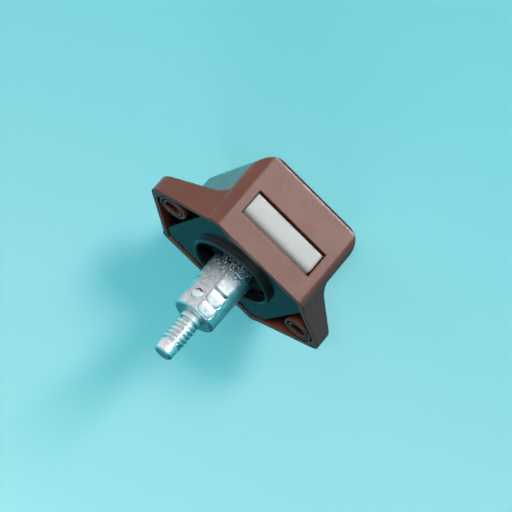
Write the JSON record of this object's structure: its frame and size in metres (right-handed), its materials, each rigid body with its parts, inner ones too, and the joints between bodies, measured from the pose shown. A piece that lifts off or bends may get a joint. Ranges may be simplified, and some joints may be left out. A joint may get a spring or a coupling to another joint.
{
  "type": "push-button locker catch",
  "caption": "Push-button catch for a locker or cupboard door: flanged housing with a sliding bolt, a collar for the door's hole and a spindle with a threaded end.",
  "frame": {"origin": "on the spindle's axis, in the plane of the housing's rim, which touches the door", "axes": "+Z along the spindle, out through the door to the button; -Y the way the bolt comes out; X across the two ears"},
  "size_m": [0.049, 0.0303, 0.0441],
  "materials": {
    "housing_plastic": "fine-grained brown moulding",
    "plate_plastic": "glossy black",
    "plunger_plastic": "matt black",
    "bolt_metal": "pale grey satin coat on a casting",
    "barrel_zinc": "bright die-cast zinc with cast grain",
    "stud_steel": "zinc-plated, worn bright",
    "pin_steel": "bright steel",
    "spring_steel": "spring wire"
  },
  "bodies": {
    "case": {"housing": "housing_plastic", "base_plate": "plate_plastic", "follower_spring": "spring_steel", "return_spring": "spring_steel"},
    "spindle": {"barrel": "barrel_zinc", "threaded_stud": "stud_steel", "cross_pin": "pin_steel", "plunger": "plunger_plastic", "drive_pins": "pin_steel"},
    "bolt": {"latch_bolt": "bolt_metal", "bolt_carriage": "plunger_plastic"},
    "follower": {"cam_follower": "spring_steel"}
  },
  "joints": [
    {"name": "spindle_press", "type": "slide", "parent": "case", "child": "spindle", "axis": [0, 0, -1], "range_m": [0, 0.0075], "stiffness_N_per_m": 500, "springref_m": -0.006, "deforming": ["return_spring"]},
    {"name": "bolt_slide", "type": "slide", "parent": "case", "child": "bolt", "axis": [0, -1, 0], "range_m": [0, 0.006]},
    {"name": "follower_swing", "type": "hinge", "parent": "case", "child": "follower", "pos_m": [0, 0.0106, -0.0168], "axis": [0, -1, 0], "range_deg": [0, 30]}
  ],
  "couplings": [
    {"joint": "bolt_slide", "follows": "spindle_press", "ratio": 0.8}
  ]
}
